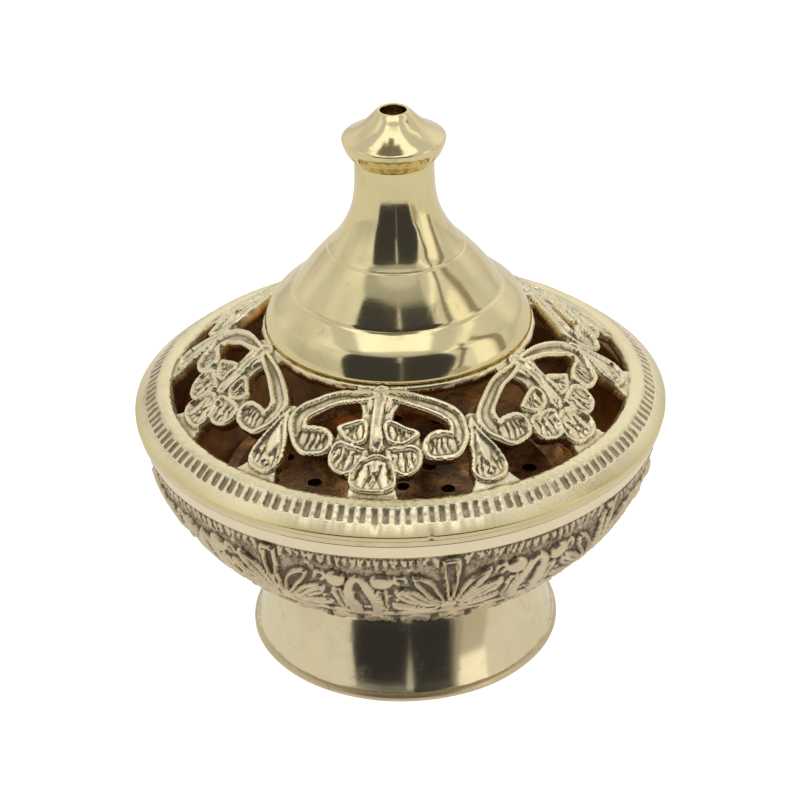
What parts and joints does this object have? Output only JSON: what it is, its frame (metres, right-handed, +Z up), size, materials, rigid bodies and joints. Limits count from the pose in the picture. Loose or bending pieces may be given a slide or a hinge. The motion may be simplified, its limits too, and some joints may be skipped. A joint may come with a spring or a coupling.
{
  "type": "thurible censer",
  "caption": "Footed brass censer bowl with a pierced lift-off lid, a flared chimney and a smoke-hole finial, for burning incense on charcoal.",
  "frame": {"origin": "centre of the foot's underside, on the surface the censer stands on", "axes": "+Z up along the axis of the bowl, lid and chimney; -Y towards the lid leaf that faces the front; +X to the right"},
  "size_m": [0.09, 0.09, 0.0975],
  "materials": {
    "polished_brass": "polished, faint turning lines",
    "patinated_brass": "cast, polished on the high spots, dark patina in the recesses",
    "heat_stained_brass": "matt, heat stained",
    "brass_fixings": "plain, satin"
  },
  "bodies": {
    "base": {"foot": "polished_brass", "bowl": "patinated_brass", "foot_screw": "brass_fixings", "foot_washer": "brass_fixings", "foot_nut": "brass_fixings"},
    "plate": {"charcoal_plate": "heat_stained_brass"},
    "seat_ring": {"lid_seat_ring": "polished_brass"},
    "lid": {"lid_fret": "patinated_brass", "chimney": "polished_brass", "chimney_ring_nut": "brass_fixings", "finial": "polished_brass"}
  },
  "joints": [
    {"name": "lid_lift", "type": "slide", "parent": "base", "child": "seat_ring", "axis": [0, 0, 1], "range_m": [0, 0.07]},
    {"name": "lid_turn", "type": "hinge", "parent": "seat_ring", "child": "lid", "pos_m": [0, 0, 0.045], "axis": [0, 0, 1], "continuous": true},
    {"name": "plate_lift", "type": "slide", "parent": "base", "child": "plate", "axis": [0, 0, 1], "range_m": [0, 0.012]}
  ]
}
